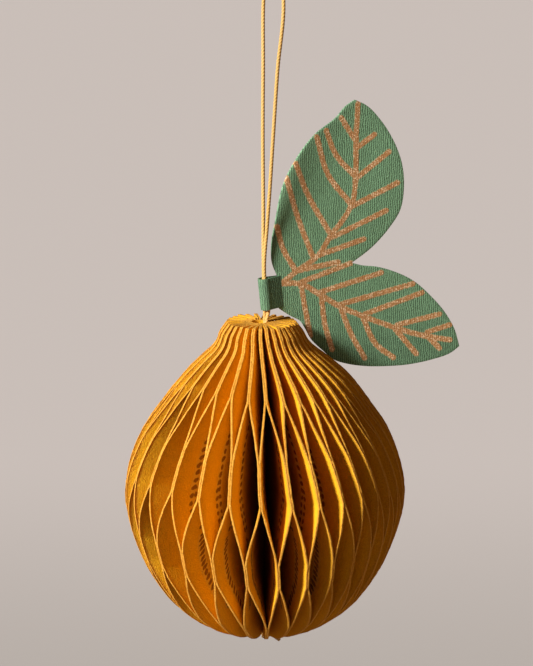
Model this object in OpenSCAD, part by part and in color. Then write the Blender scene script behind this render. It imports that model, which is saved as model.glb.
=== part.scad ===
// Honeycomb paper ornament: a pear shaped honeycomb body that hangs from a cord loop,
// with a folded twin leaf gripping the cord above it.
// Origin at the hanging point, inside the top of the loop. +Z is up, -Y is the front.

/* [Body] */
// height of the honeycomb body
body_height = 81.4; // [74:0.2:90]
// largest diameter of the honeycomb body
body_diameter = 71.5; // [62:0.5:80]
// pairs of paper leaves around the body
pair_count = 30; // [24:1:32]
// thickness of one paper leaf
paper = 0.38; // [0.3:0.01:0.42]
// sideways lean of the neck
neck_lean = -1.3; // [-2:0.1:2]
// sideways lean of the whole body, from its foot to its top
body_lean = 0.8; // [-1:0.1:1]
// distance from the hanging point down to the top of the body
hang_drop = 88; // [84:0.5:100]
// distance of the body's axis from the hanging point, to the left
axis_offset = -2; // [-4:0.1:0]

/* [Joins] */
// lower end of the join at the neck, above the body's foot
neck_join_low = 65.6; // [63:0.1:68]
// upper end of the join above the equator
middle_join_high = 52.6; // [50:0.1:54]
// lower end of the join above the equator
middle_join_low = 42.6; // [40:0.1:45]
// upper end of the join below the equator
low_join_high = 27.6; // [26:0.1:30]
// lower end of the join below the equator
low_join_low = 21.4; // [19:0.1:23]
// upper end of the join at the foot
foot_join_high = 7.6; // [6:0.1:9]
// how much higher the joins stand on the left of the front
left_rise = 2.2; // [0:0.1:3]

/* [Uneven opening] */
// how much wider the cells stand on the left side
side_uneven = 0.17; // [0:0.01:0.2]
// how the side unevenness grows toward the foot
side_uneven_change = 0.13; // [0:0.01:0.15]
// how much closer the cells stand at the front
front_uneven = 0.07; // [0:0.01:0.12]
// how the front unevenness grows toward the neck
front_uneven_change = 0.17; // [0:0.01:0.2]
// how much closer the cells stand halfway around
half_uneven = 0.05; // [0:0.01:0.06]
// turn of the whole body about its axis
body_turn = -7.3; // [-20:0.1:20]
// twist of the body from its middle to its neck
body_twist = 1.7; // [-5:0.1:5]
// turn of every second row of joins
join_turn = 1.1; // [-1.5:0.1:1.5]

/* [Cord] */
// diameter of the cord
cord_diameter = 0.95; // [0.8:0.05:1]
// radius of the cord's hole at the body's top
hole_top_radius = 2.15; // [2:0.05:2.4]
// radius of the cord's hole in the rest of the body
hole_radius = 1.3; // [1.2:0.05:1.6]
// width of the knot under the body
knot_width = 4.4; // [4:0.1:5.5]
// height of the knot under the body
knot_height = 2.8; // [2.4:0.1:3.2]

/* [Twin leaf] */
// thickness of the folded sheet, both layers glued back to back
leaf_thickness = 0.8; // [0.6:0.05:1]
// turn of the leaf's plane away from the front
leaf_turn = 20; // [10:1:26]
// radius of the fold's hollow around the cord
eye_radius = 1.2; // [1.15:0.05:1.3]
// wall of the fold around the cord
eye_wall = 0.4; // [0.3:0.05:0.5]
// tilt of the fold in the leaf's plane
eye_tilt = 6; // [0:1:7]

/* [Hidden] */
// the body's outline: height and radius, as shares of the full height and the largest radius
outline = [[0, 0.165], [0.004, 0.215], [0.01, 0.277], [0.018, 0.344], [0.03, 0.408], [0.048, 0.487],
    [0.072, 0.565], [0.109, 0.663], [0.159, 0.754], [0.227, 0.849], [0.299, 0.92], [0.373, 0.973],
    [0.447, 1], [0.521, 0.986], [0.594, 0.939], [0.668, 0.863], [0.742, 0.746], [0.791, 0.665],
    [0.84, 0.57], [0.889, 0.449], [0.925, 0.352], [0.95, 0.315], [0.968, 0.299], [0.985, 0.271],
    [1, 0.244]];
leaf_count = 2 * pair_count;
ring = 3 * leaf_count;
pitch = 360 / pair_count;
foot_z = -hang_drop - body_height;
largest_radius = body_diameter / 2;
edge_gap = 0.04; // half the gap between two joined leaves at their edge
notch = 0.4; // depth of that gap
hub_wall = 0.6; // least wall around the cord's hole
lean_from = 0.8; // share of the height where the neck begins to lean
lean_even = 0.625; // share of the height where the lean leaves the body on the cord's axis
rise_turn = 50; // how far left of the front the joins stand highest
rise_narrow = 1.5; // how quickly that falls off around the body
between = [0.15, 0.36, 0.6, 0.82, 0.95]; // rows of points between two joins, as shares of the way up
low_between = [0.2, 0.5, 0.8, 0.95]; // the same under the lowest joins
// how quickly two leaves part under a join, and how quickly they meet at the next one below it
high_parting = [1.7, 0.4];
middle_parting = [1, 0.5];
low_parting = [0.9, 0.85];

// a join's rows: height, share of the way to the second joining, and which pairs are joined
foot_rows = [for (k = [0, 0.04, 0.11, 0.2, 0.33, 0.58, 1]) [k * foot_join_high, 1, false, true]];
low_rows = [for (z = [low_join_low, low_join_high]) [z, 0, true, false]];
middle_rows = [for (k = [0, 0.5, 1])
    [middle_join_low + k * (middle_join_high - middle_join_low), 1, false, true]];
neck_rows = [for (k = [0, 0.3, 0.58, 0.82, 0.94, 1])
    [neck_join_low + k * (body_height - neck_join_low), 0, true, false]];

// the way of a leaf from one join down to the next
function swing(u, parting) = u * u * (3 - 2 * u) + parting[0] * (u * u * u - 2 * u * u + u)
    + parting[1] * (u * u * u - u * u);
function open_rows(shares, low, high, turned, parting) = [for (k = shares)
    let (s = swing(1 - k, parting))
    [low + k * (high - low), turned ? 1 - s : s, false, false]];
rows = concat(foot_rows, open_rows(low_between, foot_join_high, low_join_low, false, low_parting),
    low_rows, open_rows(between, low_join_high, middle_join_low, true, middle_parting),
    middle_rows, open_rows(between, middle_join_high, neck_join_low, false, high_parting), neck_rows);
last = len(rows) - 1;

// the outline's radius at a height above the foot, a smooth curve through its points
function slope_at(i) =
    i == 0 ? (outline[1][1] - outline[0][1]) / (outline[1][0] - outline[0][0]) :
    i == len(outline) - 1 ? (outline[i][1] - outline[i - 1][1]) / (outline[i][0] - outline[i - 1][0]) :
    (outline[i + 1][1] - outline[i - 1][1]) / (outline[i + 1][0] - outline[i - 1][0]);
function span_of(share, i = 0) =
    i >= len(outline) - 2 || share <= outline[i + 1][0] ? i : span_of(share, i + 1);
function eased(p, m, q, n, u) = (2 * u * u * u - 3 * u * u + 1) * p + (u * u * u - 2 * u * u + u) * m
    + (3 * u * u - 2 * u * u * u) * q + (u * u * u - u * u) * n;
function radius_at(z) =
    let (share = z / body_height, i = span_of(share), long = outline[i + 1][0] - outline[i][0])
    largest_radius * eased(outline[i][1], slope_at(i) * long, outline[i + 1][1], slope_at(i + 1) * long,
        (share - outline[i][0]) / long);

// the angle where the leaf that would stand at an even angle stands, at a height
function uneven(even, z) =
    let (h = (z - body_height / 2) / (body_height / 2))
    even + body_turn + body_twist * h
    + 180 / PI * ((side_uneven - side_uneven_change * h) * cos(even)
    - (front_uneven + front_uneven_change * h) * sin(even)
    + half_uneven * (sin(2 * even) + cos(2 * even) / 2));
function join_angle(i, z, s) =
    let (first = floor(i / 2) * pitch, second = first + (i % 2 == 0 ? -pitch / 2 : pitch / 2))
    (1 - s) * uneven(first, z) + s * (uneven(second, z) + join_turn);
function lean_at(z) =
    let (u = max(0, (z / body_height - lean_from) / (1 - lean_from)))
    neck_lean * u * u * (3 - 2 * u);

// how much higher than its row a point stands: most on the left of the front, nothing at the ends
function rise_at(angle, z) =
    let (turn = abs((angle + rise_turn + 540) % 360 - 180), h = 2 * z / body_height - 1)
    let (off = min(90, turn * rise_narrow))
    left_rise * cos(off) * cos(off) * (1 - h * h * h * h);

// a point around the cord's axis, from the angle off the front, the radius and the side step
function cord_point(angle, r, side, z) = [
    axis_offset + lean_at(z) + r * sin(angle) + side * cos(angle),
    -r * cos(angle) + side * sin(angle),
    foot_z + z];
// a point of a leaf, its distance in under the outline instead of the radius
function leaf_point(angle, inset, side, z) =
    let (high = z + rise_at(angle, z))
    cord_point(angle, radius_at(high) - inset, side, high)
    + [body_lean * (high / body_height - lean_even), 0, 0];
function side_step(i, s) = (i % 2 == 0 ? -1 : 1) * (1 - 2 * s) * paper / 2;

// how deep under the outline the gap between a leaf and the next ends
function gap_depth(share, half, r) =
    max(notch, r - max(hole_top_radius + hub_wall, paper * share / tan(half)));
function valley(i, z, s, joined) =
    let (a = join_angle(i, z, s), b = join_angle(i + 1, z, s), share = i % 2 == 0 ? s : 1 - s)
    let (middle = (a + b) / 2, r = radius_at(z + rise_at(middle, z)))
    leaf_point(middle, joined ? min(notch, r / 3) : gap_depth(share, (b - a) / 2, r), 0, z);

function row_points(row) =
    let (z = row[0], s = row[1], thick = paper / 2 - edge_gap)
    [for (i = [0 : leaf_count - 1])
        each [
            leaf_point(join_angle(i, z, s), 0, side_step(i, s) - thick, z),
            leaf_point(join_angle(i, z, s), 0, side_step(i, s) + thick, z),
            valley(i, z, s, i % 2 == 0 ? row[2] : row[3])]];

// the cord's hole: rows of height and radius
hole_rows = [[0, hole_radius], [lean_from * body_height, hole_radius], [body_height, hole_top_radius]];
function hole_points(row) =
    [for (i = [0 : leaf_count - 1]) cord_point((i + 0.5) * pitch / 2, row[1], 0, row[0])];

function at(j, k) = j * ring + (k + ring) % ring;
hole_start = (last + 1) * ring;
function hole_at(j, i) = hole_start + j * leaf_count + (i + leaf_count) % leaf_count;
// both faces of a leaf are parted from their low inner to their high outer corner
side_faces = [for (j = [0 : last - 1], k = [0 : ring - 1])
    each k % 3 == 2
        ? [[at(j + 1, k), at(j + 1, k + 1), at(j, k)], [at(j + 1, k + 1), at(j, k + 1), at(j, k)]]
        : [[at(j + 1, k), at(j + 1, k + 1), at(j, k + 1)], [at(j + 1, k), at(j, k + 1), at(j, k)]]];
hole_faces = [for (j = [0 : len(hole_rows) - 2], i = [0 : leaf_count - 1])
    each [[hole_at(j, i), hole_at(j, i + 1), hole_at(j + 1, i + 1)],
        [hole_at(j, i), hole_at(j + 1, i + 1), hole_at(j + 1, i)]]];
top_faces = [for (i = [0 : leaf_count - 1])
    let (v = 3 * i + 2, h = len(hole_rows) - 1)
    each [[at(last, v), at(last, v - 1), at(last, v - 2)],
        [at(last, v), at(last, v - 2), at(last, v - 3)],
        [at(last, v), at(last, v - 3), hole_at(h, i)],
        [at(last, v - 3), hole_at(h, i - 1), hole_at(h, i)]]];
foot_faces = [for (i = [0 : leaf_count - 1])
    let (v = 3 * i + 2)
    each [[at(0, v - 2), at(0, v - 1), at(0, v)],
        [at(0, v - 3), at(0, v - 2), at(0, v)],
        [hole_at(0, i), at(0, v - 3), at(0, v)],
        [hole_at(0, i), hole_at(0, i - 1), at(0, v - 3)]]];

// the cord's route, from the knot up the front strand, over the top and down the back strand
// inside the body: sideways and forward from its axis, and the share of its height below its top
front_inside = [[0, -0.5, 1], [0, -0.5, 0.5], [0, -0.5, 0.1]];
back_inside = [[0, 0.55, 0.1], [0, 0.55, 0.5], [0, 0.55, 1]];
// at the leaf's fold: sideways and forward from the body's axis, and the height above its top
front_fold = [[0.1, -0.5, -1], [0.9, 0.1, 3.4], [-0.2, -0.6, 11.6]];
back_fold = [[-0.4, 0.5, 11.6], [-0.15, 0.2, 3.4], [-0.1, 0.5, -1]];
// the free strands: from the hanging point, and the share of the drop below it
front_free = [[-1.5, -1.4, 0.716], [-1, -2.1, 0.636], [0, -3.6, 0.455], [1, -5, 0.278]];
back_free = [[-2.5, 4.7, 0.278], [-2.6, 3.2, 0.455], [-2.5, 1.7, 0.648]];
// the loop's top: from the hanging point
loop_top = [[2.4, -6.5, -8], [2.2, -6, -4.6], [1.7, -4.6, -1.9], [0.9, -2.5, -0.1], [0, 0, 0.5],
    [-0.9, 2.5, -0.1], [-1.7, 4.6, -1.9], [-2.2, 6, -4.6], [-2.4, 6.5, -8]];
function inside(p) = [for (a = p) [axis_offset + a[0], a[1], -hang_drop - a[2] * body_height]];
function folded(p) = [for (a = p) [axis_offset + a[0], a[1], a[2] - hang_drop]];
function free(p) = [for (a = p) [a[0], a[1], -a[2] * hang_drop]];
route = concat(inside(front_inside), folded(front_fold), free(front_free), loop_top,
    free(back_free), folded(back_fold), inside(back_inside));
steps = 3; // rings along each stretch of the route
cord_sides = 8;
across = [0.94, 0.34, 0]; // a direction that the route never takes
function unit(v) = v / norm(v);
function way(p, i) =
    i == 0 ? unit(p[1] - p[0]) :
    i == len(p) - 1 ? unit(p[i] - p[i - 1]) :
    let (a = p[i] - p[i - 1], b = p[i + 1] - p[i])
    (a / norm(a) * norm(b) + b / norm(b) * norm(a)) / (norm(a) + norm(b));
function smooth_line(p, n) = concat([for (i = [0 : len(p) - 2], k = [0 : n - 1])
    let (long = norm(p[i + 1] - p[i]))
    eased(p[i], way(p, i) * long, p[i + 1], way(p, i + 1) * long, k / n)], [p[len(p) - 1]]);
cord_line = smooth_line(route, steps);

module tube(line, radius, sides) {
    n = len(line);
    points = [for (i = [0 : n - 1])
        let (t = unit(line[min(i + 1, n - 1)] - line[max(i - 1, 0)]))
        let (b = unit(cross(t, across)), a = cross(b, t))
        each [for (k = [0 : sides - 1]) let (turn = k * 360 / sides)
            line[i] + radius * (a * cos(turn) + b * sin(turn))]];
    faces = concat([[for (k = [0 : sides - 1]) k]], [[for (k = [0 : sides - 1]) n * sides - 1 - k]],
        [for (i = [0 : n - 2], k = [0 : sides - 1])
            let (a = i * sides + k, b = i * sides + (k + 1) % sides)
            each [[a, a + sides, b + sides], [a, b + sides, b]]]);
    polyhedron(points, faces, convexity = 8);
}

// the twin leaf's outline in its own plane: sideways from the cord, and height above the body's top
upper_leaf_left = [[3.2, 11.5], [1.8, 15], [1.6, 18.5], [2.8, 26], [5, 35], [8.2, 40.7], [13, 46.5],
    [19, 50.8], [21.2, 53.2], [23.8, 54.8]];
upper_leaf_right = [[23.8, 54.8], [26.6, 53.5], [31, 49.2], [34.4, 44], [36.6, 38.5], [37.3, 32.2],
    [36.4, 26.4], [33.5, 22], [28.5, 17], [23.2, 13.5]];
lower_leaf_top = [[23.2, 13.5], [26.2, 12.6], [30.2, 12], [35, 10.5], [40.4, 7.8], [45.5, 3.4],
    [49.8, -1.5], [52.4, -6], [53.7, -10.4]];
lower_leaf_under = [[53.7, -10.4], [51.6, -11.8], [46, -13.3], [39.6, -14.1], [33.4, -14.1],
    [27.2, -13.6], [22.2, -12.6], [18.5, -11.2], [15.9, -8.9], [12.3, -5.3], [10.8, -2.6], [9.4, -0.5],
    [6.9, 0.9], [3.8, 3]];
fold_side = [[1.4, 3], [0.7, 11]];
function curve(p) = [for (q = smooth_line([for (a = p) [a[0], a[1], 0]], 3)) [q[0], q[1]]];
leaf_outline = concat(curve(upper_leaf_left), curve(upper_leaf_right), curve(lower_leaf_top),
    curve(lower_leaf_under), fold_side);
eye_top = 11.1; // upper end of the fold around the cord
eye_low = 3.1; // lower end of the fold around the cord
eye_shift = 0.05; // the fold's middle, sideways from the cord
fold_reach = 4.4; // how far from the cord the fold's two layers close on each other

// all the paper leaves, joined in turn to one and the other neighbour
module honeycomb_body() {
    color([0.93, 0.65, 0.13])
        polyhedron(
            concat([for (row = rows) each row_points(row)], [for (row = hole_rows) each hole_points(row)]),
            concat(side_faces, hole_faces, top_faces, foot_faces), convexity = 20);
}

// one sheet folded around the cord, its two layers glued back to back, cut as two leaves
module leaf() {
    color([0.29, 0.52, 0.4])
        translate([axis_offset, 0, -hang_drop])
            rotate([0, 0, leaf_turn])
                difference() {
                    union() {
                        rotate([90, 0, 0])
                            linear_extrude(leaf_thickness, center = true)
                                polygon(leaf_outline);
                        eye_placed() {
                            fold(eye_radius + eye_wall);
                            fold_wedge();
                        }
                    }
                    eye_placed()
                        translate([0, 0, -1])
                            cylinder(r = eye_radius, h = eye_top - eye_low + 2, $fn = 48);
                }
}

module eye_placed() {
    translate([eye_shift, 0, (eye_top + eye_low) / 2])
        rotate([0, -eye_tilt, 0])
            translate([0, 0, (eye_low - eye_top) / 2])
                children();
}

module fold(r) {
    cylinder(r = r, h = eye_top - eye_low, $fn = 48);
}

module fold_wedge() {
    linear_extrude(eye_top - eye_low)
        polygon([[0.2, eye_radius + eye_wall - 0.02], [fold_reach, leaf_thickness / 2],
            [fold_reach, -leaf_thickness / 2],
            [0.2, -eye_radius - eye_wall + 0.02]]);
}

// both strands of the hanging loop, from the knot and back to it
module cord() {
    color([0.95, 0.72, 0.35])
        tube(cord_line, cord_diameter / 2, cord_sides);
}

// the knot that both ends are tied in, its flat top against the body's foot
knot_sides = 24;
knot_rings = 10;
knot_ridge = 0.13; // height of the turns' ridges, as a share of the radius
knot_turns = 3;
knot_top_tilt = 40; // where the flat top cuts the knot's ball
function knot_point(k, j) =
    let (a = k * 360 / knot_sides, tilt = -90 + j * (90 + knot_top_tilt) / knot_rings, flat = cos(tilt),
        r = 1 + knot_ridge * flat * cos(knot_turns * a + 2 * tilt))
    [axis_offset + knot_width / 2 * r * flat * cos(a), knot_width / 2 * r * flat * sin(a),
        foot_z - knot_height * (sin(knot_top_tilt) - sin(tilt)) / (1 + sin(knot_top_tilt))];
module knot() {
    low = [axis_offset, 0, foot_z - knot_height];
    points = concat([low], [for (j = [1 : knot_rings], k = [0 : knot_sides - 1]) knot_point(k, j)]);
    faces = concat([for (k = [0 : knot_sides - 1]) [0, 1 + k, 1 + (k + 1) % knot_sides]],
        [for (j = [0 : knot_rings - 2], k = [0 : knot_sides - 1])
            let (a = 1 + j * knot_sides + k, b = 1 + j * knot_sides + (k + 1) % knot_sides)
            each [[a, a + knot_sides, b + knot_sides], [a, b + knot_sides, b]]],
        [[for (k = [0 : knot_sides - 1]) knot_rings * knot_sides - k]]);
    color([0.95, 0.72, 0.35])
        polyhedron(points, faces, convexity = 4);
}

// node to draw, or all
honeycomb_body();
leaf();
cord();
knot();
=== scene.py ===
import math

import bmesh
import bpy
import numpy as np
from bpy.props import FloatProperty, FloatVectorProperty, IntProperty, PointerProperty
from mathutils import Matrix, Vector, noise
from mathutils.geometry import delaunay_2d_cdt


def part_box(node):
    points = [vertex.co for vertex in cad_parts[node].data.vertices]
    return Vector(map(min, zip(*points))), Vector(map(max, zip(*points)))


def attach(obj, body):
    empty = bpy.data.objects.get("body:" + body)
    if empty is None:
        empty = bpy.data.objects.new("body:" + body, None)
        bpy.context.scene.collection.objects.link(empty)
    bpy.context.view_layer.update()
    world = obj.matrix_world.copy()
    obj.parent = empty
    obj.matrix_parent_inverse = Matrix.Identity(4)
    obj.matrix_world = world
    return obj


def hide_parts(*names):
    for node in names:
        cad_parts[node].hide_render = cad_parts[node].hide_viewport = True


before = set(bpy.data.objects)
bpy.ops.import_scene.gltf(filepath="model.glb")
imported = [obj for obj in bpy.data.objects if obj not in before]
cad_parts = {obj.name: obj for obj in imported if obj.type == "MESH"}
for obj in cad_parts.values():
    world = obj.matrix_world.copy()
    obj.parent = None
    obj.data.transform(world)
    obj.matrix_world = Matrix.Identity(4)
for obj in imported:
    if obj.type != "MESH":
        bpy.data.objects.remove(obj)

bl_info = {
    "name": "Honeycomb paper ornament",
    "version": (1, 0, 0),
    "blender": (4, 5, 0),
    "location": "View3D > Sidebar > Ornament",
    "description": "A hanging honeycomb paper body with a twin leaf, a cord loop and its stage",
    "category": "Object",
}

MM = 0.001
ROOT = "root"
BODY_LOW, BODY_HIGH = [[value / MM for value in corner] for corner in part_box("honeycomb_body")]
FOOT_Z = BODY_LOW[2]
BODY_TOP = BODY_HIGH[2]
BODY_HEIGHT = BODY_TOP - FOOT_Z
AXIS_X = -2.0  # sideways place of the body's axis from the hanging point
COPPER = (0.56, 0.27, 0.1)  # the printed veins
GLINT = (0.98, 0.66, 0.38)  # painted glints: the brightest grains in them
THREAD_CROWN_HIGHLIGHT = (0.98, 0.72, 0.32)  # painted highlight on the crowns of the fine ridges in the thread's plies
BLACK = (0.0, 0.0, 0.0)
DEEP_SHADE = (0.3, 0.09, 0.004)  # painted shade: the paper darker deep in the cells, near the middle of the body
MARK_BAND = (0.8, 0.5, 0.13)  # paler paper under the dots
MARK_DARK = (0.2, 0.05, 0.003)  # the dots and dashes themselves


class BodySettings(bpy.types.PropertyGroup):
    """Sizes and colours of the honeycomb body"""
    diameter: FloatProperty(
        name="Diameter", description="Largest width across the leaves", default=71.5 * MM,
        unit="LENGTH")
    paper: FloatProperty(
        name="Paper", description="Thickness of one leaf of paper", default=0.38 * MM,
        unit="LENGTH")
    pairs: IntProperty(
        name="Pairs", description="Pairs of leaves around the body", default=30)
    wave: FloatProperty(
        name="Wave", description="How far a leaf's edge wanders sideways", default=0.16 * MM,
        unit="LENGTH")
    fray: FloatProperty(
        name="Fray", description="How far a cut rim stands in and out", default=0.11 * MM,
        unit="LENGTH")
    flare: FloatProperty(
        name="Flare", description="How much thicker the paper is at its cut rim",
        default=0.1 * MM, unit="LENGTH")
    face_colour: FloatVectorProperty(
        name="Faces", description="Colour of the dyed paper", default=(0.97, 0.475, 0.016),
        subtype="COLOR")
    edge_colour: FloatVectorProperty(
        name="Edges", description="Colour of the cut edges", default=(0.84, 0.4, 0.055),
        subtype="COLOR")


class LeafSettings(bpy.types.PropertyGroup):
    """Sizes and colours of the twin leaf"""
    thickness: FloatProperty(
        name="Thickness", description="Both layers of the folded card", default=0.8 * MM,
        unit="LENGTH")
    turn: FloatProperty(
        name="Turn", description="Turn of the leaf's plane away from the front",
        default=math.radians(20), subtype="ANGLE")
    grid: FloatProperty(
        name="Grid", description="Spacing of the sheet's points", default=0.42 * MM, unit="LENGTH")
    card_colour: FloatVectorProperty(
        name="Card", description="Colour of the ribbed card", default=(0.2, 0.37, 0.205),
        subtype="COLOR")


class CordSettings(bpy.types.PropertyGroup):
    """Sizes and colours of the hanging loop and its knot"""
    diameter: FloatProperty(
        name="Diameter", description="Thickness of the twisted cord", default=0.95 * MM,
        unit="LENGTH")
    twist: FloatProperty(
        name="Twist", description="Length of one turn of the plies", default=2.6 * MM,
        unit="LENGTH")
    plies: IntProperty(
        name="Plies", description="Threads twisted together in the cord", default=3)
    thread_colour: FloatVectorProperty(
        name="Thread", description="Colour of the thread", default=(0.87, 0.5, 0.13),
        subtype="COLOR")


class StageSettings(bpy.types.PropertyGroup):
    """Camera, floor and light"""
    camera_distance: FloatProperty(
        name="Distance", description="From the camera to the ornament's middle", default=0.52,
        unit="LENGTH")
    camera_tilt: FloatProperty(
        name="Tilt", description="How far the camera looks down", default=math.radians(12.3),
        subtype="ANGLE")
    camera_lens: FloatProperty(
        name="Lens", description="Focal length in millimetres", default=111.59)
    floor_drop: FloatProperty(
        name="Floor", description="Depth of the floor under the hanging point", default=0.3,
        unit="LENGTH")
    key_strength: FloatProperty(
        name="Key light", description="Strength of the soft light from the left", default=5.8)
    front_strength: FloatProperty(
        name="Front light", description="Strength of the weak light from the front", default=0.1)
    fill_strength: FloatProperty(
        name="Fill light", description="Strength of the light from all around", default=0.05)


def to_metres(points):
    """The same points in metres, as a list of vectors"""
    return [Vector(point) * MM for point in points]


def smooth_line(points, steps):
    """A soft curve through given points, with a few points in each span"""
    points = [np.array(point, float) for point in points]
    spans = [b - a for a, b in zip(points, points[1:])]

    def way(i):
        """The direction of the curve at a point"""
        if i == 0:
            return spans[0] / np.linalg.norm(spans[0])
        if i == len(spans):
            return spans[-1] / np.linalg.norm(spans[-1])
        before, after = spans[i - 1], spans[i]
        long_before, long_after = np.linalg.norm(before), np.linalg.norm(after)
        turned = before / long_before * long_after + after / long_after * long_before
        return turned / (long_before + long_after)

    line = []
    for i, span in enumerate(spans):
        reach = np.linalg.norm(span)
        for k in range(steps):
            u = k / steps
            line.append(
                (2 * u**3 - 3 * u**2 + 1) * points[i] + (u**3 - 2 * u**2 + u) * reach * way(i)
                + (3 * u**2 - 2 * u**3) * points[i + 1] + (u**3 - u**2) * reach * way(i + 1))
    line.append(points[-1])
    return line


def new_piece(name, mesh, nodes, material):
    """Puts a mesh in the scene as a piece of the ornament"""
    piece = bpy.data.objects.new(name, mesh)
    bpy.context.scene.collection.objects.link(piece)
    mesh.materials.append(material)
    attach(piece, ROOT)
    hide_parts(*nodes)
    return piece


def smooth_mesh(mesh, angle):
    """Rounds the shading except over edges sharper than the angle"""
    mesh.shade_smooth()
    mesh.set_sharp_from_angle(angle=angle)
    mesh.update()


def point_values(mesh, name, values):
    """Stores one number at each point of the mesh"""
    layer = mesh.attributes.new(name, "FLOAT", "POINT")
    layer.data.foreach_set("value", np.asarray(values, np.float32))


class Tree:
    """Adds shader nodes to a tree and joins them"""

    def __init__(self, tree):
        self.tree = tree

    def put(self, socket, value):
        """Sets a socket to a number or colour, or links it to another socket"""
        if isinstance(value, bpy.types.NodeSocket):
            self.tree.links.new(value, socket)
        else:
            socket.default_value = value

    def add(self, kind, inputs=None, **settings):
        """A new node with its settings and inputs"""
        node = self.tree.nodes.new(kind)
        for name, value in settings.items():
            setattr(node, name, value)
        for name, value in (inputs or {}).items():
            self.put(node.inputs[name], value)
        return node

    def math(self, operation, *values):
        """The result of a sum on numbers"""
        node = self.add("ShaderNodeMath", operation=operation)
        for socket, value in zip(node.inputs, values):
            self.put(socket, value)
        return node.outputs[0]

    def step(self, value, low, high, first=0.0, last=1.0):
        """A soft step from the first number to the last, between low and high"""
        node = self.add("ShaderNodeMapRange", {
            "Value": value, "From Min": low, "From Max": high, "To Min": first, "To Max": last},
            interpolation_type="SMOOTHSTEP")
        return node.outputs[0]

    def mix(self, factor, first, second):
        """A colour between two colours"""
        node = self.add("ShaderNodeMix", data_type="RGBA")
        for socket, value in zip((node.inputs[0], node.inputs[6], node.inputs[7]),
                                 (factor, first, second)):
            if isinstance(value, tuple) and len(value) == 3:
                value = (*value, 1.0)
            self.put(socket, value)
        return node.outputs[2]

    def noise(self, vector, scale, detail=2.0, roughness=0.5):
        """A cloudy number between 0 and 1"""
        node = self.add("ShaderNodeTexNoise", {
            "Vector": vector, "Scale": scale, "Detail": detail, "Roughness": roughness})
        return node.outputs[0]

    def attribute(self, name):
        """A number stored at the points of the mesh"""
        return self.add("ShaderNodeAttribute", attribute_name=name).outputs["Fac"]

    def millimetres(self):
        """The place on the piece, in millimetres"""
        place = self.add("ShaderNodeTexCoord").outputs["Object"]
        node = self.add("ShaderNodeVectorMath", operation="SCALE")
        self.put(node.inputs[0], place)
        self.put(node.inputs["Scale"], 1 / MM)
        return node.outputs[0]

    def group(self, group, inputs):
        """The outputs of a shader group"""
        node = self.add("ShaderNodeGroup", node_tree=group)
        for name, value in inputs.items():
            self.put(node.inputs[name], value)
        return node.outputs


def new_group(name, inputs, outputs):
    """An empty shader group with named number sockets, ready to be filled"""
    group = bpy.data.node_groups.new(name, "ShaderNodeTree")
    for socket, default in inputs.items():
        kind = "NodeSocketVector" if default is None else "NodeSocketFloat"
        made = group.interface.new_socket(socket, in_out="INPUT", socket_type=kind)
        if default is not None:
            made.default_value = default
    for socket in outputs:
        group.interface.new_socket(socket, in_out="OUTPUT", socket_type="NodeSocketFloat")
    tree = Tree(group)
    start = tree.add("NodeGroupInput").outputs
    end = tree.add("NodeGroupOutput").inputs
    return group, tree, start, end


def pulp_group():
    """Cotton pulp: a soft mottle, fine grain and short raised fibres, sizes in millimetres"""
    if "cotton_pulp" in bpy.data.node_groups:
        return bpy.data.node_groups["cotton_pulp"]
    group, tree, start, end = new_group(
        "cotton_pulp", {"Place": None, "Grain Size": 0.4, "Fibre Size": 1.5},
        ("Height", "Mottle"))
    sway, strand_width, fibre_height = 1.3, 0.09, 0.35
    per_grain = tree.math("DIVIDE", 1.0, start["Grain Size"])
    per_fibre = tree.math("DIVIDE", 1.0, start["Fibre Size"])
    grain = tree.noise(start["Place"], per_grain, 3.0, 0.6)
    mottle = tree.noise(start["Place"], tree.math("MULTIPLY", per_fibre, 0.35), 3.0, 0.55)
    drift = tree.add("ShaderNodeTexNoise", {
        "Vector": start["Place"], "Scale": per_fibre, "Detail": 1.0})
    bent = tree.add("ShaderNodeVectorMath", operation="MULTIPLY_ADD")
    tree.put(bent.inputs[0], drift.outputs["Color"])
    tree.put(bent.inputs[1], (sway,) * 3)
    tree.put(bent.inputs[2], start["Place"])
    strands = tree.add("ShaderNodeTexVoronoi", {
        "Vector": bent.outputs[0], "Scale": tree.math("MULTIPLY", per_fibre, 1.6)},
        feature="DISTANCE_TO_EDGE").outputs["Distance"]
    fibre = tree.step(strands, 0.0, strand_width, 1.0, 0.0)
    tree.put(end["Height"], tree.math("MULTIPLY_ADD", fibre, fibre_height, grain))
    tree.put(end["Mottle"], mottle)
    return group


def twist_group():
    """Plies of a twisted thread, from the length along it and the way round it"""
    if "twisted_plies" in bpy.data.node_groups:
        return bpy.data.node_groups["twisted_plies"]
    group, tree, start, end = new_group(
        "twisted_plies", {"Along": 0.0, "Around": 0.0, "Turn": 2.6, "Plies": 3.0},
        ("Height", "Crown Highlight"))
    turns = tree.math("DIVIDE", start["Along"], start["Turn"])
    angle = tree.math("MULTIPLY", tree.math("SUBTRACT", start["Around"], turns), math.tau)
    ply = tree.math("COSINE", tree.math("MULTIPLY", angle, start["Plies"]))
    fine = tree.math("COSINE", tree.math("MULTIPLY", angle, tree.math(
        "MULTIPLY", start["Plies"], 5.0)))
    height = tree.math("MULTIPLY_ADD", fine, 0.15, ply)
    tree.put(end["Height"], tree.math("MULTIPLY_ADD", height, 0.43, 0.5))
    # mask of the crowns of the fine ridges, which get a painted highlight
    tree.put(end["Crown Highlight"], tree.step(fine, 0.2, 0.9))
    return group


def new_material(name):
    """A material with its shader, ready for its own nodes"""
    material = bpy.data.materials.new(name)
    material.use_nodes = True
    tree = Tree(material.node_tree)
    shader = material.node_tree.nodes["Principled BSDF"]
    return material, tree, shader


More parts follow.
